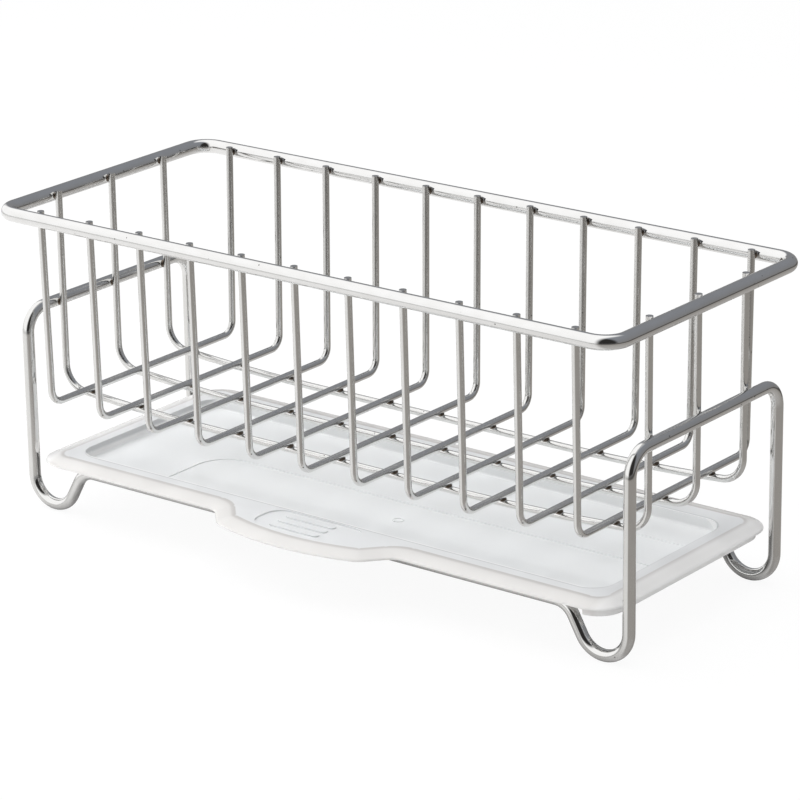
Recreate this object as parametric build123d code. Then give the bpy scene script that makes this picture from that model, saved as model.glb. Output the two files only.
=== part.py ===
from build123d import *
from math import asin, atan2, cos, radians, sin, sqrt, tan
import os

os.makedirs("parts", exist_ok=True)

# Kitchen sink caddy: a welded wire basket on a bent leg loop, with a loose drip tray on its rails.
# X is the long way, -Y the front with the tray's tab, +Z up. The feet touch z = 0.

# Rod gauges
rim_gauge = 6.0
leg_gauge = 5.0
wire_gauge = 3.0

# Basket: overall size of the rim and its height on the counter
rim_length = 314.8
rim_depth = 136.4
rim_top = 136.7
rim_corner = 9.2

# Basket wires
cross_count = 11
end_gap = 19.4
long_spread = 33.5
floor_height = 49.0
cross_lean = 1.7
cross_bend = 6.0
long_bend = 10.5
wire_tip_drop = 0.6
tip_round_share = 0.85
flat_share = 0.421
floor_sweep = 1080.0

# Leg loop
bar_height = 87.0
bar_bend = 10.2
leg_spread = 51.8
foot_bend = 11.6
rail_height = 20.6
rail_bend = 9.6
foot_slope = 61.0

# Weld nuggets
nugget_share = 0.95
core_share = 0.3

# Drip tray
tray_corner = 14.0
tray_wall = 1.6
leg_clearance = 2.7
tray_back = 3.0
lip_clearance = 2.6
rail_clearance = 3.2
flange_gap = 0.3
flange_end = 13.0
basin_corner = 9.2
basin_depth = 4.4
basin_draft = 1.0
basin_round = 1.2
lip_drop = 1.1
lip_width = 5.5
lip_fall = 2.0
lip_crest = 18.0
lip_round = 0.9
under_width = 3.6
under_fall = 1.0
skirt_inset = 3.0
skirt_drop = 4.6
panel_step = 0.4
panel_left = 92.0
panel_rear = 2.0
panel_corner = 14.0
strip_step = 0.3
strip_front = 23.0
gate_round = 2.4
gate_ring = 0.5
gate_height = 0.3
gate_spot = (17.8, -19.4)

# Tab of the tray
tab_reach = 11.5
tab_bow = 6.0
tab_half = 36.5
tab_root = 47.0
tab_corner = 10.5
tab_neck = 8.0
grip_depth = 0.6
grip_half = 24.0
grip_corner = 8.0
grip_rib = 3.4
grip_pitch = 5.4
grip_length = 25.0
grip_shift = 2.7
grip_rib_count = 3

# Derived heights and planes
rim_x = rim_length / 2 - rim_gauge / 2
rim_y = rim_depth / 2 - rim_gauge / 2
rim_z = rim_top - rim_gauge / 2
cross_y = rim_y - rim_gauge / 2 - wire_gauge / 2
long_x = rim_x - rim_gauge / 2 - wire_gauge / 2
leg_x = long_x + wire_gauge / 2 + leg_gauge / 2
tip_z = rim_top - wire_tip_drop
floor_flat = rim_x * flat_share
cross_pitch = 2 * (rim_x - end_gap) / (cross_count - 1)
long_ys = [-long_spread, 0, long_spread]
cross_xs = [(number - (cross_count - 1) / 2) * cross_pitch for number in range(cross_count)]
rail_top = rail_height + leg_gauge / 2
flange_under = rail_top + flange_gap
flange_top = flange_under + tray_wall
floor_top = flange_top - basin_depth
tray_length = 2 * (leg_x - leg_gauge / 2 - leg_clearance)
tray_depth = 2 * (leg_spread + leg_gauge / 2 + lip_clearance + tray_wall)


def upturn(x):
    """How far the basket's floor rises at x: level in the middle, a wide arc towards each end."""
    run = max(0, abs(x) - floor_flat)
    return floor_sweep - sqrt(floor_sweep ** 2 - run ** 2)


def bent_path(corners, bends):
    """A rod's centreline: straight runs, each inner corner rounded by a tangent bend of its own radius."""
    here, runs = Vector(*corners[0]), []
    for before, corner, after, bend in zip(corners, corners[1:], corners[2:], bends):
        spot = Vector(*corner)
        back, ahead = (Vector(*before) - spot).normalized(), (Vector(*after) - spot).normalized()
        half = radians(back.get_angle(ahead)) / 2
        start, end = spot + back * (bend / tan(half)), spot + ahead * (bend / tan(half))
        middle = spot + (back + ahead).normalized() * (bend / sin(half) - bend)
        runs += [Line(here, start), ThreePointArc(start, middle, end)]
        here = end
    return Wire(runs + [Line(here, Vector(*corners[-1]))])


def rod(path, gauge):
    """A round rod of one gauge along a centreline."""
    return sweep(Plane(path @ 0, z_dir=path % 0) * Circle(gauge / 2), path=path)


def tipped(body, gauge):
    """The rod with its two cut ends rounded over."""
    ends = body.edges().filter_by(GeomType.CIRCLE).group_by(Axis.Z)[-1]
    return fillet(ends, gauge / 2 * tip_round_share)


def ring(half_x, half_y, corner, z):
    """A closed level loop, begun in the middle of its front side."""
    corners = [(0, -half_y, z), (half_x, -half_y, z), (half_x, half_y, z), (-half_x, half_y, z),
               (-half_x, -half_y, z), (0, -half_y, z)]
    return bent_path(corners, [corner] * 4)


# Rim: one closed rod
rim = rod(ring(rim_x, rim_y, rim_corner, rim_z), rim_gauge)


def cross_wire(x):
    """A front-to-back U, its walls leaning out a little to meet the rim."""
    low, foot_y = floor_height + upturn(x), cross_y - cross_lean
    corners = [(x, -cross_y, tip_z), (x, -foot_y, low), (x, foot_y, low), (x, cross_y, tip_z)]
    return tipped(rod(bent_path(corners, [cross_bend] * 2), wire_gauge), wire_gauge)


def long_path(y):
    """Centreline of an end-to-end U whose floor follows the upturn just below the cross wires."""
    low, sweep_r = floor_height - wire_gauge, floor_sweep + wire_gauge
    hub_z, bend_x = floor_height + floor_sweep, long_x - long_bend
    bend_z = hub_z - sqrt((sweep_r - long_bend) ** 2 - (bend_x - floor_flat) ** 2)
    lean = atan2(bend_x - floor_flat, hub_z - bend_z)

    def on_sweep(side, angle):
        return Vector(side * (floor_flat + sweep_r * sin(angle)), y, hub_z - sweep_r * cos(angle))

    def on_bend(side, angle):
        return Vector(side * (bend_x + long_bend * sin(angle)), y, bend_z - long_bend * cos(angle))

    turn = radians(90)
    runs = [Line((-long_x, y, tip_z), on_bend(-1, turn)),
            ThreePointArc(on_bend(-1, turn), on_bend(-1, (turn + lean) / 2), on_bend(-1, lean)),
            ThreePointArc(on_sweep(-1, lean), on_sweep(-1, lean / 2), on_sweep(-1, 0)),
            Line((-floor_flat, y, low), (floor_flat, y, low)),
            ThreePointArc(on_sweep(1, 0), on_sweep(1, lean / 2), on_sweep(1, lean)),
            ThreePointArc(on_bend(1, lean), on_bend(1, (turn + lean) / 2), on_bend(1, turn)),
            Line(on_bend(1, turn), (long_x, y, tip_z))]
    return Wire(runs)


cross_wires = [cross_wire(x) for x in cross_xs]
long_wires = [tipped(rod(long_path(y), wire_gauge), wire_gauge) for y in long_ys]

# Leg loop: two end bars, four legs with bowed feet and the two rails, bent from one rod
foot_z = leg_gauge / 2 + foot_bend
slope = radians(foot_slope)
turn_depth = foot_z - foot_bend * tan((radians(90) + slope) / 2)
rail_x = leg_x - (rail_height - turn_depth) / tan(slope)
half_loop = [(0, -leg_spread, rail_height), (rail_x, -leg_spread, rail_height),
             (leg_x, -leg_spread, turn_depth), (leg_x, -leg_spread, bar_height),
             (leg_x, leg_spread, bar_height), (leg_x, leg_spread, turn_depth),
             (rail_x, leg_spread, rail_height), (0, leg_spread, rail_height)]
other_half = [(-x, -y, z) for x, y, z in half_loop]
side_bends = [rail_bend, foot_bend, bar_bend, bar_bend, foot_bend, rail_bend]
loop_corners = half_loop[:-1] + other_half[1:]
leg_loop = rod(bent_path(loop_corners, side_bends * 2), leg_gauge)


def nugget(spot, normal, rods):
    """Weld metal round the spot where two rods touch, cut to meet both without overlap."""
    size = wire_gauge / 2 * nugget_share
    bead = Plane(spot, z_dir=normal) * (Sphere(size) - Cylinder(size * core_share, wire_gauge))
    away = Vector(*normal)
    for point, along, gauge in rods:
        away = -away
        bead -= Plane(point, x_dir=away, z_dir=along) * Cylinder(gauge / 2, 2 * leg_gauge)
    return bead


# Welds: wire tips to the rim, floor crossings, and end wires to the leg bars
rim_nuggets, floor_nuggets, leg_nuggets = [], [], []
along_x, along_y, along_z = (1, 0, 0), (0, 1, 0), (0, 0, 1)
for x in cross_xs:
    low = floor_height + upturn(x)
    for side in (-1, 1):
        spot = (x, side * (rim_y - rim_gauge / 2), rim_z)
        wall = ((x, side * cross_y, tip_z), (0, side * cross_lean, tip_z - low), wire_gauge)
        bar = ((x, side * rim_y, rim_z), along_x, rim_gauge)
        rim_nuggets.append(nugget(spot, (0, side, 0), (wall, bar)))
    lean = asin(max(0, abs(x) - floor_flat) / floor_sweep) * (1 if x > 0 else -1)
    across = (sin(lean), 0, -cos(lean))
    spot = (x + sin(lean) * wire_gauge / 2, 0, low - cos(lean) * wire_gauge / 2)
    under = (x + sin(lean) * wire_gauge, 0, low - cos(lean) * wire_gauge)
    rods = (((x, 0, low), along_y, wire_gauge), (under, (cos(lean), 0, sin(lean)), wire_gauge))
    floor_nuggets += [Pos(0, y, 0) * nugget(spot, across, rods) for y in long_ys]
for side in (-1, 1):
    wall = ((side * long_x, 0, rim_z), along_z, wire_gauge)
    bar = ((side * rim_x, 0, rim_z), along_y, rim_gauge)
    at_rim = nugget((side * (rim_x - rim_gauge / 2), 0, rim_z), (side, 0, 0), (wall, bar))
    wall = ((side * long_x, 0, bar_height), along_z, wire_gauge)
    bar = ((side * leg_x, 0, bar_height), along_y, leg_gauge)
    at_leg = nugget((side * (leg_x - leg_gauge / 2), 0, bar_height), (side, 0, 0), (wall, bar))
    rim_nuggets += [Pos(0, y, 0) * at_rim for y in long_ys]
    leg_nuggets += [Pos(0, y, 0) * at_leg for y in long_ys]
rim_welds, floor_welds, leg_welds = Compound(rim_nuggets), Compound(floor_nuggets), Compound(leg_nuggets)

# Drip tray
half_length, half_depth = tray_length / 2, tray_depth / 2
tab_front = -half_depth - tab_reach


def tray_outline(inset):
    """Face of the tray's plan, tab and all, drawn in by an inset all round."""
    left, right = (-tab_half, tab_front), (tab_half, tab_front)
    left_root, right_root = (-tab_root, -half_depth), (tab_root, -half_depth)
    left_in, right_in = (-tab_root, -half_depth + tray_corner), (tab_root, -half_depth + tray_corner)
    tab = make_face(Wire([Line(left_root, left), ThreePointArc(left, (0, tab_front - tab_bow), right),
                          Line(right, right_root), Line(right_root, right_in), Line(right_in, left_in),
                          Line(left_in, left_root)]))
    whole = Pos(0, tray_back / 2) * RectangleRounded(tray_length, tray_depth + tray_back, tray_corner) + tab
    by_depth = whole.vertices().group_by(Axis.Y)
    whole = fillet(by_depth[0], tab_corner)
    at_root = [spot for spot in whole.vertices().filter_by_position(Axis.X, -tab_root, tab_root)
               if abs(abs(spot.X) - tab_root) < tray_wall and abs(spot.Y + half_depth) < tray_wall]
    whole = fillet(at_root, tab_neck)
    return whole if inset == 0 else offset(whole, -inset)


def level(face, z):
    return Pos(0, 0, z) * face


plan = tray_outline(0)
shell = extrude(level(plan, flange_under - lip_drop), flange_top - flange_under + lip_drop)

# The lip: a wide slope all round, softened where it leaves the flange and rounded at its outer edge
top = shell.faces().sort_by(Axis.Z)[-1]
shell = chamfer(top.edges(), lip_width, lip_fall, reference=top)
shell = fillet(shell.faces().sort_by(Axis.Z)[-1].edges(), lip_crest)
brim = flange_top - lip_fall
by_height = shell.edges().group_by(Axis.Z)
shell = fillet(min(by_height, key=lambda group: abs(group[0].center().Z - brim)), lip_round)
hollow = extrude(level(tray_outline(tray_wall), flange_under - lip_drop), lip_drop)
ceiling = hollow.faces().sort_by(Axis.Z)[-1]
shell -= chamfer(ceiling.edges(), under_width, under_fall, reference=ceiling)

basin_x, basin_y = half_length - flange_end, leg_spread - leg_gauge / 2 - rail_clearance - tray_wall
mouth = RectangleRounded(2 * basin_x, 2 * basin_y, basin_corner)
sole = RectangleRounded(2 * (basin_x - basin_draft), 2 * (basin_y - basin_draft), basin_corner - basin_draft)
cavity = loft([level(sole, floor_top), level(mouth, flange_top)])
cavity = fillet(cavity.edges().group_by(Axis.Z)[0], basin_round)
outer_mouth = RectangleRounded(2 * (basin_x + tray_wall), 2 * (basin_y + tray_wall), basin_corner + tray_wall)
outer_sole = RectangleRounded(2 * (basin_x + tray_wall - basin_draft), 2 * (basin_y + tray_wall - basin_draft),
                              basin_corner + tray_wall - basin_draft)
basin = loft([level(outer_sole, floor_top - tray_wall), level(outer_mouth, flange_under + flange_gap)])
basin = fillet(basin.edges().group_by(Axis.Z)[0], basin_round + tray_wall / 2)
tray = shell + basin - cavity

# The floor's fine steps: a sunk panel at the front right and a raised strip along the rear
floor_x, floor_y = basin_x - basin_draft - basin_round, basin_y - basin_draft - basin_round
panel_width, panel_run = floor_x + panel_left, floor_y - panel_rear
panel = Pos((floor_x - panel_left) / 2, -(floor_y + panel_rear) / 2) * Rectangle(panel_width, panel_run)
panel = fillet(panel.vertices().group_by(Axis.X)[0].group_by(Axis.Y)[-1], panel_corner)
tray -= extrude(level(panel, floor_top - panel_step), panel_step)
strip = Pos(0, (floor_y + strip_front) / 2) * Rectangle(2 * floor_x, floor_y - strip_front)
tray += extrude(level(strip, floor_top), strip_step)

# Moulding gate: a low ring on the sunk panel
gate = Circle(gate_round) - Circle(gate_round - gate_ring)
gate_at = Pos(gate_spot[0], gate_spot[1], floor_top - panel_step)
tray += gate_at * extrude(gate, gate_height)

# End skirts: a deeper wall set in from the lip, straight at the left, turned round both corners at the right
skirt_in = skirt_inset + tray_wall
skirt_depth = tray_depth + tray_back
skirt_ring = RectangleRounded(tray_length - 2 * skirt_inset, skirt_depth - 2 * skirt_inset,
                              tray_corner - skirt_inset)
skirt_ring -= RectangleRounded(tray_length - 2 * skirt_in, skirt_depth - 2 * skirt_in, tray_corner - skirt_in)
skirt_ring = Pos(0, tray_back / 2) * skirt_ring
right_part = Pos(half_length, tray_back / 2) * Rectangle(2 * tray_corner, skirt_depth)
left_part = Pos(-half_length, 0) * Rectangle(2 * tray_corner, tray_depth - 2 * tray_corner)
skirts = skirt_ring & (right_part + left_part)
tray += extrude(level(skirts, flange_under - skirt_drop), skirt_drop)

# Grip on the tab: a shallow well with raised ribs
well_depth = grip_pitch * grip_rib_count + grip_rib
grip_y = -basin_y - tray_wall - well_depth / 2
well = Pos(0, grip_y) * RectangleRounded(2 * grip_half, well_depth, grip_corner)
tray -= extrude(level(well, flange_top - grip_depth), grip_depth)
for number in range(grip_rib_count):
    rib_y = grip_y + (number - (grip_rib_count - 1) / 2) * grip_pitch
    rib = Pos(-grip_shift, rib_y, flange_top - grip_depth) * SlotOverall(grip_length, grip_rib)
    tray += extrude(rib, grip_depth)

nodes = {"rim_wire": rim, "leg_loop": leg_loop, "rim_welds": rim_welds, "floor_welds": floor_welds,
         "leg_welds": leg_welds, "drip_tray": tray}
for number, wire in enumerate(cross_wires, 1):
    nodes[f"cross_wire_{number:02d}"] = wire
for place, wire in zip(("front", "middle", "rear"), long_wires):
    nodes[f"long_wire_{place}"] = wire
for name, shape in nodes.items():
    shape.label = name
    export_step(shape, f"parts/{name}.step")
    box = shape.bounding_box()
    print(name, len(shape.solids()), round(shape.volume, 1), box.min, box.max)
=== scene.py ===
# %% [markdown]
# # A kitchen sink caddy
# This lesson dresses a sink caddy: a welded basket of bright stainless rod on a bent leg loop,
# with a loose drip tray of milky plastic. A CAD model gives every size. Blender gives the looks.
# First the imported CAD model is loaded as a fixed frame.

# %% Load the frame
import bpy
from math import asin, cos, radians, sin, sqrt, tan
from mathutils import Matrix, Vector


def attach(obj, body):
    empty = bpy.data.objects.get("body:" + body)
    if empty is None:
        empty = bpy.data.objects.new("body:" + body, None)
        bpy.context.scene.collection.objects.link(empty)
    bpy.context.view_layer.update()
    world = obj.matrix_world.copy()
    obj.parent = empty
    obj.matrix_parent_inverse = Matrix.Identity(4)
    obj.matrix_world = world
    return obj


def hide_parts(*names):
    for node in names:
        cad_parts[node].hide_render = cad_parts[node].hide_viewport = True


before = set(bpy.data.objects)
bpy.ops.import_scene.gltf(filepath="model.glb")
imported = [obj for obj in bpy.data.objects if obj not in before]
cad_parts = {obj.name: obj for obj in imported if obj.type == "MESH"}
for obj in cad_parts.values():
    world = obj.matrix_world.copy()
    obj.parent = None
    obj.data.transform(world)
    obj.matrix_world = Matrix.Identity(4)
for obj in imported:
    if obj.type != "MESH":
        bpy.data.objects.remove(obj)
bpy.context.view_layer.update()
scene = bpy.context.scene

# %% [markdown]
# ## The camera
# The picture was taken from the front right, a little above. The camera's place was worked out
# from the straight rods in the picture. A long lens keeps the rods nearly parallel, as they are there.

# %% Camera
MM = 0.001
camera_place = Vector((901.2, -1153.3, 569.8)) * MM
camera_aim = Vector((-2.22, 8.85, 60.20)) * MM
camera_roll = radians(-0.857)

look = (camera_aim - camera_place).normalized()
level_right = look.cross(Vector((0, 0, 1))).normalized()
level_up = level_right.cross(look)
right = cos(camera_roll) * level_right + sin(camera_roll) * level_up
up = -sin(camera_roll) * level_right + cos(camera_roll) * level_up
camera = bpy.data.objects.new("camera", bpy.data.cameras.new("camera"))
scene.collection.objects.link(camera)
camera.matrix_world = Matrix((right, up, -look)).transposed().to_4x4()
camera.location = camera_place
camera.data.lens = 169.44
camera.data.sensor_width = 36.0
camera.data.clip_start, camera.data.clip_end = 0.05, 20.0
scene.camera = camera
print("camera", round((camera_aim - camera_place).length, 3), "m from the caddy")

# %% [markdown]
# ## Sizes
# These are the real sizes in metres, the same as the CAD model's. The rods have three gauges:
# 6 mm for the rim, 5 mm for the leg loop and 3 mm for the basket wires.

# %% Sizes of the rods
rim_gauge, leg_gauge, wire_gauge = 6.0 * MM, 5.0 * MM, 3.0 * MM
rim_x, rim_y, rim_z, rim_corner = 154.4 * MM, 65.2 * MM, 133.7 * MM, 9.2 * MM
tip_z = 136.1 * MM
cross_pitch, cross_count = 27.0 * MM, 11
cross_y, cross_lean, cross_bend = 60.7 * MM, 1.7 * MM, 6.0 * MM
long_x, long_spread, long_bend = 149.9 * MM, 33.5 * MM, 10.5 * MM
floor_z, floor_flat, floor_sweep = 49.0 * MM, 65.0 * MM, 1080.0 * MM
leg_x, leg_y, bar_z, bar_bend = 153.9 * MM, 51.8 * MM, 87.0 * MM, 10.2 * MM
rail_z, rail_bend, foot_bend, foot_slope = 20.6 * MM, 9.6 * MM, 11.6 * MM, radians(61.0)
cross_places = [(number - (cross_count - 1) / 2) * cross_pitch for number in range(cross_count)]
print("cross wires at", [round(x / MM, 1) for x in cross_places])

# %% [markdown]
# ## Helpers for nodes
# Geometry Nodes and materials are both trees of nodes. The first function adds a node, sets its
# options, and then fills its inputs: a plain value is set, and another node's output is linked. The
# others add the kinds of node that are needed most, and give back the output to build on.

# %% Node helpers


def add(tree, kind, inputs=None, **settings):
    """Adds a node of this kind, sets its options, and sets or links its inputs by name or number."""
    node = tree.nodes.new(kind)
    for name, value in settings.items():
        setattr(node, name, value)
    for name, value in (inputs or {}).items():
        socket = node.inputs[name]
        if isinstance(value, bpy.types.NodeSocket):
            tree.links.new(value, socket)
        else:
            socket.default_value = value
    return node


def calc(tree, operation, *values):
    """The result of a sum on these values."""
    return add(tree, "ShaderNodeMath", dict(enumerate(values)), operation=operation).outputs[0]


def vector_calc(tree, operation, *vectors):
    """The result of a sum on these vectors."""
    return add(tree, "ShaderNodeVectorMath", dict(enumerate(vectors)), operation=operation).outputs[0]


def mix(tree, share, first, second):
    """The first colour where the share is nought, the second where it is one."""
    return add(tree, "ShaderNodeMix", {0: share, 6: first, 7: second}, data_type="RGBA").outputs[2]


def noise(tree, at, scale, detail):
    """Smooth random values, with this many swells a metre."""
    return add(tree, "ShaderNodeTexNoise", {"Vector": at, "Scale": scale, "Detail": detail}).outputs["Fac"]


def colour(hex_value):
    """An sRGB hex colour as the linear RGBA that a shader wants."""
    channels = [int(hex_value[place:place + 2], 16) / 255 for place in (1, 3, 5)]
    linear = [c / 12.92 if c <= 0.04045 else ((c + 0.055) / 1.055) ** 2.4 for c in channels]
    return (*linear, 1.0)


def tone_ramp(tree, value, low, high, stops):
    """A colour ramp over a value from low to high. A stop is a share of that way and a colour."""
    share = add(tree, "ShaderNodeMapRange", {"Value": value, "From Min": low, "From Max": high})
    ramp = add(tree, "ShaderNodeValToRGB", {0: share.outputs["Result"]})
    for _ in range(len(stops) - 2):
        ramp.color_ramp.elements.new(0.5)
    for element, (place, tone) in zip(ramp.color_ramp.elements, stops):
        element.position, element.color = place, colour(tone)
    return ramp.outputs[0]


print("mid grey is", [round(v, 3) for v in colour("#808080")[:3]])

# %% [markdown]
# ## Polished stainless steel
# The rods are 304 stainless, drawn through a die, welded, then electropolished. Drawing leaves fine
# lines along the rod, polishing rounds them to a soft sheen, and each weld leaves a straw-brown
# tint beside it. That tint is also painted dark enough to stand in for the shade where two rods meet.
# The rods carry two attributes of their own: rod_place (how far along, and where round the rod) and
# heat (one at a weld, nought away from it), so that the patterns follow the rod.

# %% Stainless steel materials
# repeats a metre, along the rod and then across it
die_lines = (30.0, 4000.0, 4000.0)
polish_waves = (125.0, 300.0, 300.0)
speck_cells = (320.0, 320.0, 320.0)
speck_free_share, full_tint_and_shade_share = 0.8, 0.85


def stainless(name, hex_bright, hex_tint_and_shade, roughness):
    """Drawn and electropolished stainless rod: die lines along it, soft waves, specks, and weld tint with
    painted shade.
    """
    material = bpy.data.materials.new(name)
    material.use_nodes = True
    tree = material.node_tree
    tree.nodes.clear()
    place = add(tree, "ShaderNodeAttribute", attribute_name="rod_place").outputs["Vector"]
    heat = add(tree, "ShaderNodeAttribute", attribute_name="heat").outputs["Fac"]
    # die lines: 0.25 mm apart round the rod, tens of millimetres long
    lines_at = vector_calc(tree, "MULTIPLY", place, die_lines)
    lines = noise(tree, lines_at, scale=1.0, detail=2.0)
    # slow waves left by polishing: 8 mm long
    waves_at = vector_calc(tree, "MULTIPLY", place, polish_waves)
    waves = noise(tree, waves_at, scale=1.0, detail=3.0)
    # rare pits and water specks: 0.4 mm across, about 15 mm apart
    specks_at = vector_calc(tree, "MULTIPLY", place, speck_cells)
    specks = add(tree, "ShaderNodeTexVoronoi", {"Vector": specks_at, "Scale": 1.0}, feature="F1")
    speck = add(tree, "ShaderNodeMapRange", {"Value": specks.outputs["Distance"], "From Min": 0.06,
                "From Max": 0.12, "To Min": 1.0, "To Max": 0.0}).outputs["Result"]
    rare = add(tree, "ShaderNodeSeparateColor", {"Color": specks.outputs["Color"]}).outputs["Red"]
    chosen = calc(tree, "GREATER_THAN", rare, speck_free_share)
    speck = calc(tree, "MULTIPLY", speck, chosen)
    # near a weld the steel darkens to the weld tint, painted dark enough to stand in for the shade between
    # the rods too
    tint_and_shade = calc(tree, "MULTIPLY", heat, full_tint_and_shade_share)
    steel = mix(tree, waves, colour(hex_bright), colour("#D6D5D3"))
    tinted_and_shaded = mix(tree, tint_and_shade, steel, colour(hex_tint_and_shade))
    specked = mix(tree, speck, tinted_and_shaded, colour("#3A3632"))
    rough = add(tree, "ShaderNodeMapRange", {"Value": lines, "To Min": roughness - 0.02,
                "To Max": roughness + 0.03}).outputs["Result"]
    height = calc(tree, "ADD", lines, waves)
    bump = add(tree, "ShaderNodeBump", {"Height": height, "Strength": 0.03,
               "Distance": 0.01 * MM}).outputs[0]
    shader = add(tree, "ShaderNodeBsdfPrincipled", {"Base Color": specked, "Metallic": 1.0,
                 "Roughness": rough, "Normal": bump})
    add(tree, "ShaderNodeOutputMaterial", {"Surface": shader.outputs[0]})
    return material


# each finish's second colour is the weld tint, dark enough to be painted shade as well
rim_steel = stainless("polished stainless rim rod", "#E3E3E3", "#5C4936", 0.07)
leg_steel = stainless("polished stainless leg rod", "#DFDFDE", "#6E5A45", 0.08)
wire_steel = stainless("polished stainless basket wire", "#DFDFDE", "#564434", 0.12)
print("made", rim_steel.name, "/", leg_steel.name, "/", wire_steel.name)

# %% Weld metal material
weld_steel = bpy.data.materials.new("electropolished weld metal")
weld_steel.use_nodes = True
tree = weld_steel.node_tree
tree.nodes.clear()
weld_at = add(tree, "ShaderNodeTexCoord").outputs["Object"]
scale_ripple = noise(tree, weld_at, scale=900.0, detail=3.0)
weld_tone = mix(tree, scale_ripple, colour("#35291F"), colour("#8C8074"))
weld_bump = add(tree, "ShaderNodeBump", {"Height": scale_ripple, "Strength": 0.6,
                "Distance": 0.1 * MM}).outputs[0]
weld_shader = add(tree, "ShaderNodeBsdfPrincipled", {"Base Color": weld_tone, "Metallic": 1.0,
                  "Roughness": 0.32, "Normal": weld_bump})
add(tree, "ShaderNodeOutputMaterial", {"Surface": weld_shader.outputs[0]})
print("made", weld_steel.name)

# %% [markdown]
# ## Milky polypropylene
# The tray is natural polypropylene, injection moulded about 1.6 mm thick. It passes light but
# blurs it, so the floor and rails show through as soft shapes. The dark and bright lines along its
# rounded edges, and the darker lip, are painted light and shade. The mould's faces were finely
# textured, which dulls its shine a little.

# %% Polypropylene material
tray_plastic = bpy.data.materials.new("natural translucent polypropylene")
tray_plastic.use_nodes = True
tree = tray_plastic.node_tree
tree.nodes.clear()
tray_at = add(tree, "ShaderNodeTexCoord").outputs["Object"]
cloud = noise(tree, tray_at, scale=18.0, detail=3.0)
grain = noise(tree, tray_at, scale=2500.0, detail=2.0)
flow = noise(tree, tray_at, scale=60.0, detail=1.0)
tray_tone = mix(tree, cloud, colour("#F5F6F6"), colour("#F1F3F4"))
spot = add(tree, "ShaderNodeSeparateXYZ", {0: tray_at}).outputs

# The painted light and shade round the mouth follow an oblong. At its two ends it lies 1.2 mm inside the
# mouth's edge.
tone_x, tone_y, tone_corner = 134.5 * MM, 44.5 * MM, 9.2 * MM
grip_y, grip_half_x, grip_half_y, grip_corner = -55.9 * MM, 24.0 * MM, 9.8 * MM, 8.0 * MM
edge_width, grip_rim, mouth_rim = 2.0 * MM, 0.1 * MM, 3.0 * MM
flange_z, painted_crease_low = 25.0 * MM, 24.7 * MM
end_from, end_to = 139.0 * MM, 142.0 * MM
grain_share = 0.15


def past_oblong(middle_y, half_x, half_y, corner):
    """How far outside a rounded oblong a spot of the tray lies, seen from above."""
    spot_from = vector_calc(tree, "SUBTRACT", tray_at, (0, middle_y, 0))
    folded = vector_calc(tree, "ABSOLUTE", spot_from)
    beyond = vector_calc(tree, "SUBTRACT", folded, (half_x - corner, half_y - corner, 1.0))
    beyond = vector_calc(tree, "MAXIMUM", beyond, (0, 0, 0))
    reach = add(tree, "ShaderNodeVectorMath", {0: beyond}, operation="LENGTH").outputs["Value"]
    return calc(tree, "SUBTRACT", reach, corner)


past_mouth = past_oblong(0.0, tone_x, tone_y, tone_corner)
past_grip = past_oblong(grip_y, grip_half_x, grip_half_y, grip_corner)
# painted light along the mouth's edge: a pale painted highlight with a grey painted shade line beside it,
# each about 0.5 mm wide
edge_highlight_and_shade = tone_ramp(tree, past_mouth, 0.0, edge_width, [
    (0.0, "#FDFDFD"), (0.3, "#FDFDFD"), (0.42, "#D6D7D8"), (0.62, "#D6D7D8"), (0.8, "#EBECED")])
# painted shade: the sloping lip below the flange is darker and warmer, and a painted dark line standing in
# for a reflection marks its start
lip_painted_shade = tone_ramp(tree, spot[2], flange_z, painted_crease_low, [
    (0.0, "#EBECED"), (0.04, "#EBECED"), (0.12, "#CFCCCA"), (0.25, "#D0CDCB"), (0.6, "#E0DEDC"),
    (1.0, "#E4E2E0")])
# at the tray's two ends the painted shade on the lip is paler, and its painted dark line softer
end_painted_shade = tone_ramp(tree, spot[2], flange_z, painted_crease_low, [
    (0.0, "#EBECED"), (0.12, "#DEDCDB"), (0.6, "#ECEBEA"), (1.0, "#F0EFEE")])
from_middle = calc(tree, "ABSOLUTE", spot[0])
at_end = add(tree, "ShaderNodeMapRange", {"Value": from_middle, "From Min": end_from,
             "From Max": end_to}).outputs["Result"]
lip_painted_shade = mix(tree, at_end, lip_painted_shade, end_painted_shade)
off_grip = calc(tree, "GREATER_THAN", past_grip, grip_rim)
off_mouth = calc(tree, "GREATER_THAN", past_mouth, mouth_rim)
on_lip = calc(tree, "MULTIPLY", off_mouth, off_grip)
# the painted light and shade of the mouth's edge, the flange and the lip
flange_painted_light = mix(tree, on_lip, edge_highlight_and_shade, lip_painted_shade)
outside = calc(tree, "GREATER_THAN", past_mouth, 0.0)
tray_tone = mix(tree, outside, tray_tone, flange_painted_light)
tray_rough = add(tree, "ShaderNodeMapRange", {"Value": cloud, "To Min": 0.16,
                 "To Max": 0.26}).outputs["Result"]
tray_relief = calc(tree, "MULTIPLY_ADD", grain, grain_share, flow)
tray_bump = add(tree, "ShaderNodeBump", {"Height": tray_relief, "Strength": 0.25,
                "Distance": 0.1 * MM}).outputs[0]
tray_shader = add(tree, "ShaderNodeBsdfPrincipled", {"Base Color": tray_tone, "Roughness": tray_rough,
                  "IOR": 1.49, "Transmission Weight": 0.12, "Subsurface Weight": 0.4,
                  "Subsurface Radius": (1.0, 1.0, 1.0), "Subsurface Scale": 0.7 * MM, "Normal": tray_bump})
add(tree, "ShaderNodeOutputMaterial", {"Surface": tray_shader.outputs[0]})
print("made", tray_plastic.name)

# %% [markdown]
# ## Where the welds are
# Each wire touches the rim, another wire or the leg bar at one spot. These spots are worked out
# first, because the weld beads sit on them and the rods darken near them, with a weld tint and painted
# shade. A spot keeps its place and the direction from one rod to the other.

# %% Weld spots


def upturn(x):
    """How far the basket's floor rises at x."""
    run = max(0.0, abs(x) - floor_flat)
    return floor_sweep - sqrt(floor_sweep ** 2 - run ** 2)


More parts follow.
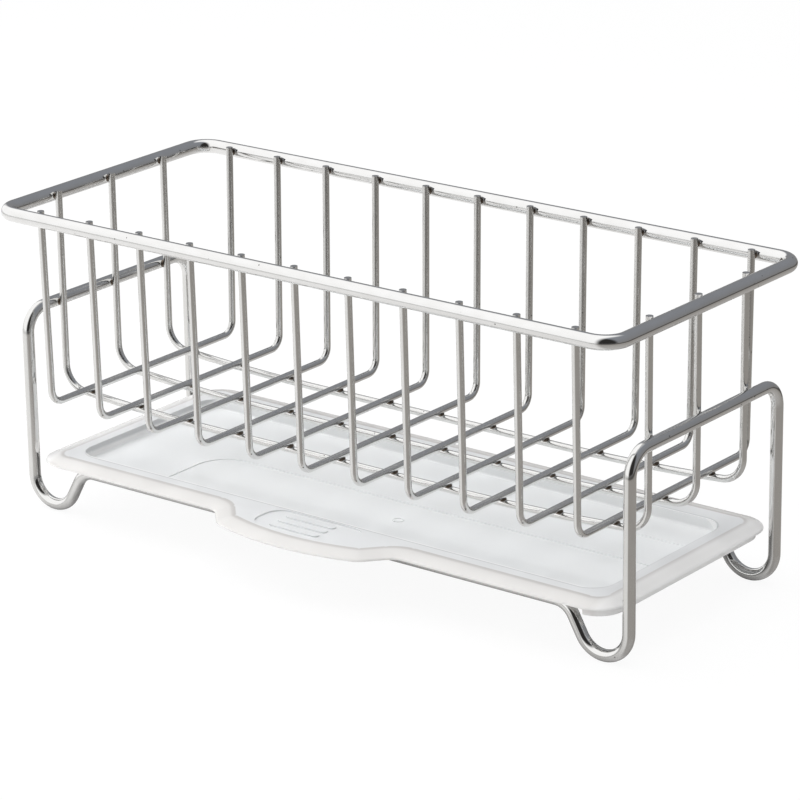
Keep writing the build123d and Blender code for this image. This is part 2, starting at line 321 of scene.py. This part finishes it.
rim_spots, floor_spots, leg_spots = [], [], []
for x in cross_places:
    for side in (-1, 1):
        rim_spots.append(((x, side * (rim_y - rim_gauge / 2), rim_z), (0, side, 0)))
    for y in (-long_spread, 0.0, long_spread):
        floor_spots.append(((x, y, floor_z + upturn(x) - wire_gauge / 2), (0, 0, 1)))
for y in (-long_spread, 0.0, long_spread):
    for side in (-1, 1):
        rim_spots.append(((side * (rim_x - rim_gauge / 2), y, rim_z), (side, 0, 0)))
        leg_spots.append(((side * (long_x + wire_gauge / 2), y, bar_z), (side, 0, 0)))
print("welds:", len(rim_spots), "rim,", len(floor_spots), "floor,", len(leg_spots), "leg")

# %% [markdown]
# ## A tree that bends rod
# A wire bender starts from a straight rod and a list of bends. The tree does the same: it is given
# the corner points, each with its own bend radius, rounds them with Fillet Curve, and sweeps a
# circle along the result. Cut ends are domed by thinning the rod over its last millimetre, and a
# butt weld, where a loop was closed, is a slight swelling. It also stores rod_place and
# heat, which is the weld tint together with its painted shade.

# %% Geometry Nodes: bent rod
swelling_reach = 2.5 * MM
tint_and_shade_near, tint_and_shade_far = 1.4 * MM, 4.5 * MM


def bent_rod_tree():
    """The tree that turns corner points into a rod of one gauge, bent, domed and welded."""
    tree = bpy.data.node_groups.new("bent rod", "GeometryNodeTree")
    face = tree.interface
    face.new_socket("Corners", in_out="INPUT", socket_type="NodeSocketGeometry")
    for name, value in (("Gauge", wire_gauge), ("Dome", 0.0), ("Dome Share", 0.6), ("Swelling", 0.0)):
        face.new_socket(name, in_out="INPUT", socket_type="NodeSocketFloat").default_value = value
    for name, value in (("Sides", 24), ("Bend Steps", 14)):
        face.new_socket(name, in_out="INPUT", socket_type="NodeSocketInt").default_value = value
    face.new_socket("Welds", in_out="INPUT", socket_type="NodeSocketObject")
    face.new_socket("Finish", in_out="INPUT", socket_type="NodeSocketMaterial")
    face.new_socket("Rod", in_out="OUTPUT", socket_type="NodeSocketGeometry")
    given = add(tree, "NodeGroupInput").outputs
    path = add(tree, "GeometryNodeMeshToCurve", {"Mesh": given["Corners"]}).outputs["Curve"]
    bend = add(tree, "GeometryNodeInputNamedAttribute", {"Name": "bend"}, data_type="FLOAT")
    path = add(tree, "GeometryNodeFilletCurve", {"Curve": path, "Count": given["Bend Steps"],
               "Radius": bend.outputs["Attribute"], "Limit Radius": True}, mode="POLY").outputs["Curve"]
    along = add(tree, "GeometryNodeSplineParameter").outputs["Length"]
    whole = add(tree, "GeometryNodeSplineLength").outputs["Length"]
    left_over = calc(tree, "SUBTRACT", whole, along)
    to_end = calc(tree, "MINIMUM", along, left_over)
    # dome: a quarter round over the last part of each end
    inward = add(tree, "ShaderNodeMapRange", {"Value": to_end, "From Max": given["Dome"],
                 "To Min": 1.0, "To Max": 0.0}).outputs["Result"]
    square = calc(tree, "MULTIPLY", inward, inward)
    rest = calc(tree, "SUBTRACT", 1.0, square)
    arc = calc(tree, "SQRT", rest)
    sunk = calc(tree, "SUBTRACT", 1.0, arc)
    sunk = calc(tree, "MULTIPLY", sunk, given["Dome Share"])
    # butt weld: a swelling that fades away from the join
    near = add(tree, "ShaderNodeMapRange", {"Value": to_end, "From Max": swelling_reach,
               "To Min": given["Swelling"], "To Max": 0.0}, interpolation_type="SMOOTHSTEP").outputs["Result"]
    thick = calc(tree, "SUBTRACT", 1.0, sunk)
    thick = calc(tree, "ADD", thick, near)
    path = add(tree, "GeometryNodeSetCurveRadius", {"Curve": path, "Radius": thick}).outputs["Curve"]
    kept = add(tree, "GeometryNodeCaptureAttribute", {"Geometry": path}, domain="POINT")
    kept.capture_items.new("FLOAT", "Along")
    tree.links.new(along, kept.inputs["Along"])
    half = calc(tree, "MULTIPLY", given["Gauge"], 0.5)
    circle = add(tree, "GeometryNodeCurvePrimitiveCircle", {"Resolution": given["Sides"], "Radius": half})
    round_at = add(tree, "GeometryNodeCaptureAttribute", {"Geometry": circle.outputs["Curve"]},
                   domain="POINT")
    round_at.capture_items.new("VECTOR", "Round")
    tree.links.new(add(tree, "GeometryNodeInputPosition").outputs[0], round_at.inputs["Round"])
    skin = add(tree, "GeometryNodeCurveToMesh", {"Curve": kept.outputs["Geometry"],
               "Profile Curve": round_at.outputs["Geometry"], "Fill Caps": True}).outputs["Mesh"]
    about = add(tree, "ShaderNodeSeparateXYZ", {0: round_at.outputs["Round"]}).outputs
    place = add(tree, "ShaderNodeCombineXYZ", {0: kept.outputs["Along"], 1: about[0], 2: about[1]}).outputs[0]
    skin = add(tree, "GeometryNodeStoreNamedAttribute", {"Geometry": skin, "Name": "rod_place",
               "Value": place}, data_type="FLOAT_VECTOR", domain="POINT").outputs["Geometry"]
    # near each weld spot the rod is marked for the weld tint, which the material paints dark as shade too
    spots = add(tree, "GeometryNodeObjectInfo", {"Object": given["Welds"]}).outputs["Geometry"]
    gap = add(tree, "GeometryNodeProximity", {0: spots}, target_element="POINTS").outputs["Distance"]
    heat = add(tree, "ShaderNodeMapRange", {"Value": gap, "From Min": tint_and_shade_near, "From Max": tint_and_shade_far,
               "To Min": 1.0, "To Max": 0.0}, interpolation_type="SMOOTHSTEP").outputs["Result"]
    skin = add(tree, "GeometryNodeStoreNamedAttribute", {"Geometry": skin, "Name": "heat", "Value": heat},
               data_type="FLOAT", domain="POINT").outputs["Geometry"]
    skin = add(tree, "GeometryNodeSetShadeSmooth", {0: skin, "Shade Smooth": True}).outputs[0]
    skin = add(tree, "GeometryNodeSetMaterial", {"Geometry": skin, "Material": given["Finish"]}).outputs[0]
    add(tree, "NodeGroupOutput", {"Rod": skin})
    return tree


bent_rod = bent_rod_tree()
print("tree", bent_rod.name, "with", len(bent_rod.nodes), "nodes")

# %% Run a tree and keep its mesh


def grow(name, host_mesh, tree, **values):
    """Runs a Geometry Nodes tree on a mesh and returns a plain mesh object, set at the origin."""
    host = bpy.data.objects.new(name + " host", host_mesh)
    scene.collection.objects.link(host)
    modifier = host.modifiers.new("shape", "NODES")
    modifier.node_group = tree
    sockets = {item.name: item.identifier for item in tree.interface.items_tree if item.in_out == "INPUT"}
    for label, value in values.items():
        modifier[sockets[label.replace("_", " ")]] = value
    depsgraph = bpy.context.evaluated_depsgraph_get()
    mesh = bpy.data.meshes.new_from_object(host.evaluated_get(depsgraph))
    mesh.name = name
    bpy.data.objects.remove(host)
    piece = bpy.data.objects.new(name, mesh)
    scene.collection.objects.link(piece)
    return piece


def chain(name, corners, bends):
    """A mesh of corner points joined in a row, each with its bend radius."""
    mesh = bpy.data.meshes.new(name)
    mesh.from_pydata(corners, [(n, n + 1) for n in range(len(corners) - 1)], [])
    attribute = mesh.attributes.new("bend", "FLOAT", "POINT")
    for item, bend in zip(attribute.data, bends):
        item.value = bend
    return mesh


all_spots = rim_spots + floor_spots + leg_spots
spot_mesh = bpy.data.meshes.new("weld spots")
spot_mesh.from_pydata([spot for spot, normal in all_spots], [], [])
spot_host = bpy.data.objects.new("weld spots", spot_mesh)
scene.collection.objects.link(spot_host)
print("weld spots for heat tint:", len(spot_mesh.vertices))

# %% [markdown]
# ## The rim
# The rim is one thick rod, bent at four corners and butt welded to itself. The weld shows as a faint
# ring on the front, a third of the way along, so the loop starts and ends there.

# %% Rim rod
rim_join = -56.0 * MM
rim_corners = [(rim_join, -rim_y, rim_z), (rim_x, -rim_y, rim_z), (rim_x, rim_y, rim_z),
               (-rim_x, rim_y, rim_z), (-rim_x, -rim_y, rim_z), (rim_join, -rim_y, rim_z)]


def with_end_points(corners, distances):
    """Adds points this far from both ends, so that the weld's swelling or the tip's dome has a shape."""
    first, second = Vector(corners[0]), Vector(corners[1])
    last, before = Vector(corners[-1]), Vector(corners[-2])
    ahead, back = (second - first).normalized(), (before - last).normalized()
    start = [tuple(first + ahead * distance) for distance in distances]
    end = [tuple(last + back * distance) for distance in reversed(distances)]
    return [corners[0]] + start + corners[1:-1] + end + [corners[-1]]


join_points, join_step = 6, 0.5 * MM
join_distances = [join_step * number for number in range(1, join_points + 1)]
join_straight = [0.0] * (join_points + 1)
rim_points = with_end_points(rim_corners, join_distances)
rim_bends = join_straight + [rim_corner] * 4 + join_straight
rim_rod = grow("rim_rod", chain("rim", rim_points, rim_bends), bent_rod, Gauge=rim_gauge, Sides=40,
               Bend_Steps=20, Swelling=0.02, Welds=spot_host, Finish=rim_steel)
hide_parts("rim_wire")
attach(rim_rod, "frame")
print("rim:", len(rim_rod.data.polygons), "faces")

# %% [markdown]
# ## The basket wires
# Eleven wires run from front to back and three from end to end. Each is a U. The floor is level in
# the middle and turns up slightly towards the ends, so the long wires follow a wide arc there.

# %% Cross wires
dome, dome_share = 1.25 * MM, 0.85
tip_distances = [dome * share for share in (0.08, 0.2, 0.4, 0.7, 1.0)]
tip_straight = [0.0] * (len(tip_distances) + 1)

for number, x in enumerate(cross_places, 1):
    low, foot_y = floor_z + upturn(x), cross_y - cross_lean
    corners = with_end_points([(x, -cross_y, tip_z), (x, -foot_y, low), (x, foot_y, low),
                               (x, cross_y, tip_z)], tip_distances)
    bends = tip_straight + [cross_bend] * 2 + tip_straight
    wire = grow(f"cross_rod_{number:02d}", chain("cross", corners, bends), bent_rod, Gauge=wire_gauge,
                Dome=dome, Dome_Share=dome_share, Welds=spot_host, Finish=wire_steel)
    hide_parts(f"cross_wire_{number:02d}")
    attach(wire, "frame")
print("cross wires:", cross_count, "with", len(wire.data.polygons), "faces each")

# %% Long wires
sweep_radius, hub_z = floor_sweep + wire_gauge, floor_z + floor_sweep
arc_steps, arc_share = 8, 0.995
arc_angle = arc_share * asin((long_x - long_bend - floor_flat) / (sweep_radius - long_bend))


def long_corners(y):
    """Corner points of a long wire: its wide arc is drawn with short steps that need no bend."""
    half = []
    for step in range(arc_steps):
        angle = arc_angle * step / arc_steps
        half.append((floor_flat + sweep_radius * sin(angle), y, hub_z - sweep_radius * cos(angle)))
    end_z = hub_z - sqrt(sweep_radius ** 2 - (long_x - floor_flat) ** 2)
    half += [(long_x, y, end_z), (long_x, y, tip_z)]
    other = [(-x, y, z) for x, y, z in reversed(half)]
    return other + half


for place, y in (("front", -long_spread), ("middle", 0.0), ("rear", long_spread)):
    corners = with_end_points(long_corners(y), tip_distances)
    floor_straight = [0.0] * (len(corners) - 2 * len(tip_straight) - 2)
    bends = tip_straight + [long_bend] + floor_straight + [long_bend] + tip_straight
    wire = grow(f"long_rod_{place}", chain("long", corners, bends), bent_rod, Gauge=wire_gauge,
                Dome=dome, Dome_Share=dome_share, Bend_Steps=18, Welds=spot_host, Finish=wire_steel)
    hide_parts(f"long_wire_{place}")
    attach(wire, "frame")
print("long wires: 3 with", len(wire.data.polygons), "faces each")

# %% [markdown]
# ## The leg loop
# One 5 mm rod makes both end bars, all four legs and feet, and the two rails under the tray. Its
# butt weld lies in the right end bar. A foot is a bend of about 150 degrees, so the corner that its
# two straight runs would meet in lies far below the counter.

# %% Leg loop rod
foot_z = leg_gauge / 2 + foot_bend
foot_corner_z = foot_z - foot_bend * tan((radians(90) + foot_slope) / 2)
rail_x = leg_x - (rail_z - foot_corner_z) / tan(foot_slope)
leg_join = 22.0 * MM


def leg_side(side_x, side_y):
    """Corners of one leg, from its bar down to its foot and up to the rail."""
    return [(side_x * leg_x, side_y * leg_y, bar_z), (side_x * leg_x, side_y * leg_y, foot_corner_z),
            (side_x * rail_x, side_y * leg_y, rail_z)]


leg_bends = [bar_bend, foot_bend, rail_bend]
leg_corners = ([(leg_x, leg_join, bar_z)] + leg_side(1, 1) + leg_side(-1, 1)[::-1] + leg_side(-1, -1)
               + leg_side(1, -1)[::-1] + [(leg_x, leg_join, bar_z)])
leg_points = with_end_points(leg_corners, join_distances)
leg_radii = join_straight + 2 * (leg_bends + leg_bends[::-1]) + join_straight
leg_rod = grow("leg_rod", chain("leg", leg_points, leg_radii), bent_rod, Gauge=leg_gauge, Sides=36,
               Bend_Steps=28, Swelling=0.02, Welds=spot_host, Finish=leg_steel)
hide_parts("leg_loop")
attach(leg_rod, "frame")
print("leg loop:", len(leg_rod.data.polygons), "faces")

# %% [markdown]
# ## The weld beads
# Resistance welding squeezes a little metal out between two rods. Each bead is a small lumpy ball,
# pressed flat along the line between the rods. The tree sets one on every spot, turned to face its
# rods and sized at random from a fixed seed, and roughens it with noise.

# %% Geometry Nodes: weld beads
smallest_bead, largest_bead = 0.88, 1.08
lump_in, lump_out = -0.3 * MM, 0.25 * MM


def weld_bead_tree():
    """The tree that sets a lumpy bead of weld metal on every spot."""
    tree = bpy.data.node_groups.new("weld beads", "GeometryNodeTree")
    face = tree.interface
    face.new_socket("Spots", in_out="INPUT", socket_type="NodeSocketGeometry")
    face.new_socket("Size", in_out="INPUT", socket_type="NodeSocketFloat").default_value = 1.75 * MM
    face.new_socket("Flat", in_out="INPUT", socket_type="NodeSocketFloat").default_value = 0.6
    face.new_socket("Seed", in_out="INPUT", socket_type="NodeSocketInt").default_value = 7
    face.new_socket("Finish", in_out="INPUT", socket_type="NodeSocketMaterial")
    face.new_socket("Beads", in_out="OUTPUT", socket_type="NodeSocketGeometry")
    given = add(tree, "NodeGroupInput").outputs
    ball = add(tree, "GeometryNodeMeshIcoSphere", {"Radius": given["Size"],
               "Subdivisions": 4}).outputs["Mesh"]
    normal = add(tree, "GeometryNodeInputNamedAttribute", {"Name": "across"}, data_type="FLOAT_VECTOR")
    turn = add(tree, "FunctionNodeAlignRotationToVector", {"Vector": normal.outputs["Attribute"]},
               axis="Z").outputs[0]
    spread = add(tree, "FunctionNodeRandomValue", {2: smallest_bead, 3: largest_bead, "Seed": given["Seed"]},
                 data_type="FLOAT")
    flat = add(tree, "ShaderNodeCombineXYZ", {0: 1.0, 1: 1.0, 2: given["Flat"]}).outputs[0]
    size = add(tree, "ShaderNodeVectorMath", {0: flat, "Scale": spread.outputs[1]},
               operation="SCALE").outputs[0]
    beads = add(tree, "GeometryNodeInstanceOnPoints", {"Points": given["Spots"], "Instance": ball,
                "Rotation": turn, "Scale": size}).outputs["Instances"]
    beads = add(tree, "GeometryNodeRealizeInstances", {0: beads}).outputs[0]
    at = add(tree, "GeometryNodeInputPosition").outputs[0]
    lumps = noise(tree, at, scale=700.0, detail=2.0)
    lift = add(tree, "ShaderNodeMapRange", {"Value": lumps, "To Min": lump_in, "To Max": lump_out})
    out = add(tree, "ShaderNodeVectorMath", {0: add(tree, "GeometryNodeInputNormal").outputs[0],
              "Scale": lift.outputs["Result"]}, operation="SCALE").outputs[0]
    beads = add(tree, "GeometryNodeSetPosition", {"Geometry": beads, "Offset": out}).outputs[0]
    beads = add(tree, "GeometryNodeSetShadeSmooth", {0: beads, "Shade Smooth": True}).outputs[0]
    beads = add(tree, "GeometryNodeSetMaterial", {"Geometry": beads, "Material": given["Finish"]}).outputs[0]
    add(tree, "NodeGroupOutput", {"Beads": beads})
    return tree


weld_beads = weld_bead_tree()
for name, spots in (("rim_welds", rim_spots), ("floor_welds", floor_spots), ("leg_welds", leg_spots)):
    mesh = bpy.data.meshes.new(name)
    mesh.from_pydata([spot for spot, normal in spots], [], [])
    across = mesh.attributes.new("across", "FLOAT_VECTOR", "POINT")
    for item, (spot, normal) in zip(across.data, spots):
        item.vector = normal
    beads = grow(name.replace("_welds", "_weld_beads"), mesh, weld_beads, Finish=weld_steel)
    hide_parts(name)
    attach(beads, "frame")
    print(beads.name, len(beads.data.polygons), "faces")

# %% [markdown]
# ## The drip tray
# The tray's CAD mesh already has the right shape. It is loose triangles, so a copy is merged first,
# and then shaded smooth except where two faces meet at a real edge. Large faces are weighted most,
# so that the flat ones stay flat to the eye.

# %% Tray shell
tray_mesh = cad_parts["drip_tray"].data.copy()
merge_gap, real_edge = 0.002 * MM, radians(28)


def merge_tree():
    """The tree that joins loose triangles, smooths them and gives them their material."""
    tree = bpy.data.node_groups.new("merge and smooth", "GeometryNodeTree")
    tree.interface.new_socket("Mesh", in_out="INPUT", socket_type="NodeSocketGeometry")
    tree.interface.new_socket("Finish", in_out="INPUT", socket_type="NodeSocketMaterial")
    tree.interface.new_socket("Mesh", in_out="OUTPUT", socket_type="NodeSocketGeometry")
    given = add(tree, "NodeGroupInput").outputs
    joined = add(tree, "GeometryNodeMergeByDistance", {"Geometry": given["Mesh"],
                 "Distance": merge_gap}).outputs[0]
    smooth = add(tree, "GeometryNodeSetShadeSmooth", {0: joined, "Shade Smooth": True}).outputs[0]
    done = add(tree, "GeometryNodeSetMaterial", {"Geometry": smooth, "Material": given["Finish"]}).outputs[0]
    add(tree, "NodeGroupOutput", {"Mesh": done})
    return tree


tray = grow("tray_shell", tray_mesh, merge_tree(), Finish=tray_plastic)
if "custom_normal" in tray.data.attributes:
    tray.data.attributes.remove(tray.data.attributes["custom_normal"])
tray.data.set_sharp_from_angle(angle=real_edge)
level_faces = tray.modifiers.new("level faces stay level", "WEIGHTED_NORMAL")
level_faces.keep_sharp = True
level_faces.weight = 100
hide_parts("drip_tray")
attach(tray, "tray")
print("tray:", len(tray.data.polygons), "faces")
bpy.data.objects.remove(spot_host)

# %% [markdown]
# ## Floor, light and background
# The picture has a plain white ground with no visible edge. The floor glows white to the camera and
# through the tray, mixed with a little matt paper so that the caddy's soft shadow stays. Polished
# rod is a mirror, so what it shows is the room: the floor lets reflections through to the studio
# painted on the world, which is described next, and is painted darker, as shade, where the caddy is close
# above it.

# %% Floor
span, glow_most, shade_reach = 6.0, 0.93, 45 * MM
floor_corners = [(-span, -span, 0), (span, -span, 0), (span, span, 0), (-span, span, 0)]
floor_mesh = bpy.data.meshes.new("floor")
floor_mesh.from_pydata(floor_corners, [], [(0, 1, 2, 3)])
floor = bpy.data.objects.new("floor", floor_mesh)
scene.collection.objects.link(floor)
paper = bpy.data.materials.new("white paper floor")
paper.use_nodes = True
tree = paper.node_tree
tree.nodes.clear()
rays = add(tree, "ShaderNodeLightPath").outputs
seen = calc(tree, "MAXIMUM", rays["Is Camera Ray"], rays["Is Transmission Ray"])
glow_share = calc(tree, "MULTIPLY", seen, glow_most)
floor_at = add(tree, "ShaderNodeSeparateXYZ", {0: add(tree, "ShaderNodeTexCoord").outputs["Object"]}).outputs
clear_most = add(tree, "ShaderNodeMapRange", {"Value": floor_at[0], "From Min": -0.15, "From Max": 0.05,
                 "To Min": 0.70, "To Max": 0.95}).outputs["Result"]
clear_share = calc(tree, "MULTIPLY", rays["Is Glossy Ray"], clear_most)
matt = add(tree, "ShaderNodeBsdfDiffuse", {"Color": colour("#FAFAFA")}).outputs[0]
glow = add(tree, "ShaderNodeEmission", {"Color": (1, 1, 1, 1), "Strength": 1.0}).outputs[0]
# painted shade: ambient occlusion darkens the floor that the steel mirrors where the caddy is close above it
painted_floor_shade = add(tree, "ShaderNodeAmbientOcclusion", {"Distance": shade_reach}, samples=12).outputs["Color"]
clear = add(tree, "ShaderNodeBsdfTransparent", {"Color": painted_floor_shade}).outputs[0]
lit = add(tree, "ShaderNodeMixShader", {0: glow_share, 1: matt, 2: glow}).outputs[0]
mixed = add(tree, "ShaderNodeMixShader", {0: clear_share, 1: lit, 2: clear}).outputs[0]
add(tree, "ShaderNodeOutputMaterial", {"Surface": mixed})
floor_mesh.materials.append(paper)
print("floor", 2 * span, "m square")

# %% [markdown]
# ## The studio that the steel mirrors
# The reflections in the picture tell what stood around the caddy. Rods that run left to right are
# bright, so a large white screen stood at the left. Rods that run front to back are blue-grey, so
# the back of the room was dim. Upright rods are light on the left and brown-grey on the right, and
# a thin dark line on every rod is the edge of the white table. The black spots on the bends are
# the dark curtain round the camera. Two colour ramps follow the height of a direction, one for the
# screen's side and one for the dim side, and are blended sideways.

# %% World
world = bpy.data.worlds.new("studio")
scene.world = world
world.use_nodes = True
tree = world.node_tree
tree.nodes.clear()


def height_ramp(height, stops):
    """A colour ramp over height, from -1 straight down to 1 straight up. A stop is a height and a colour."""
    return tone_ramp(tree, height, -1.0, 1.0, [((place + 1) / 2, tone) for place, tone in stops])


rays = add(tree, "ShaderNodeLightPath").outputs
way = add(tree, "ShaderNodeSeparateXYZ", {0: add(tree, "ShaderNodeTexCoord").outputs["Generated"]}).outputs
dim_stops = [(-1.0, "#A9A7A5"), (-0.60, "#9B9895"), (-0.28, "#88847F"), (-0.23, "#3E3B38"),
             (-0.12, "#3C3A38"), (-0.06, "#797878"), (0.20, "#7C7D80"), (1.0, "#82868D")]
screen_stops = [(-1.0, "#E0DFDE"), (-0.40, "#DBDAD9"), (-0.27, "#CFCECC"), (-0.20, "#9F9E9C"),
                (-0.12, "#B5B5B4"), (-0.03, "#F9F9F9"), (0.50, "#FCFCFC"), (1.0, "#FFFFFF")]
dim = height_ramp(way[2], dim_stops)
screen = height_ramp(way[2], screen_stops)
in_front = add(tree, "ShaderNodeMapRange", {"Value": way[1], "From Min": -0.08, "From Max": -0.38},
               interpolation_type="SMOOTHSTEP").outputs["Result"]
above_table = add(tree, "ShaderNodeMapRange", {"Value": way[2], "From Min": -0.12,
                  "From Max": -0.02}).outputs["Result"]
curtain = calc(tree, "MULTIPLY", in_front, above_table)
dim = mix(tree, curtain, dim, colour("#2B2A29"))
to_left = add(tree, "ShaderNodeMapRange", {"Value": way[0], "From Min": 0.30, "From Max": -0.12},
              interpolation_type="SMOOTHSTEP").outputs["Result"]
not_rear = add(tree, "ShaderNodeMapRange", {"Value": way[1], "From Min": 0.66, "From Max": 0.45},
               interpolation_type="SMOOTHSTEP").outputs["Result"]
side = calc(tree, "MULTIPLY", to_left, not_rear)
room = mix(tree, side, dim, screen)
mirrored = add(tree, "ShaderNodeBackground", {"Color": room, "Strength": 1.32}).outputs[0]
plain = add(tree, "ShaderNodeBackground", {"Color": colour("#E8E9EA"), "Strength": 0.72}).outputs[0]
white = add(tree, "ShaderNodeBackground", {"Color": (1, 1, 1, 1), "Strength": 1.0}).outputs[0]
lighting = add(tree, "ShaderNodeMixShader", {0: rays["Is Glossy Ray"], 1: plain, 2: mirrored}).outputs[0]
shown = add(tree, "ShaderNodeMixShader", {0: rays["Is Camera Ray"], 1: lighting, 2: white}).outputs[0]
add(tree, "ShaderNodeOutputWorld", {"Surface": shown})
print("world ramps:", len(dim_stops), "and", len(screen_stops), "stops")

# %% Lamps


def softbox(name, place, aim, width, height, power):
    """A flat rectangular lamp that faces its aim. Mirrors don't see it, because the world paints it."""
    lamp = bpy.data.lights.new(name, "AREA")
    lamp.shape, lamp.size, lamp.size_y, lamp.energy = "RECTANGLE", width, height, power
    holder = bpy.data.objects.new(name, lamp)
    holder.location = place
    holder.rotation_euler = (Vector(aim) - Vector(place)).to_track_quat("-Z", "Y").to_euler()
    holder.visible_glossy = False
    scene.collection.objects.link(holder)


softbox("left softbox", place=(-1.3, -0.9, 0.9), aim=(0, 0, 0.06), width=1.6, height=1.4, power=9)
softbox("near left lamp", place=(-0.62, -0.05, 0.55), aim=(-0.15, 0, 0.02), width=0.5, height=0.5, power=2.2)
softbox("top softbox", place=(-0.1, -0.1, 1.6), aim=(0, 0, 0.05), width=1.6, height=1.4, power=15)
print("lamps set")

# %% View transform
scene.view_settings.view_transform = "Standard"
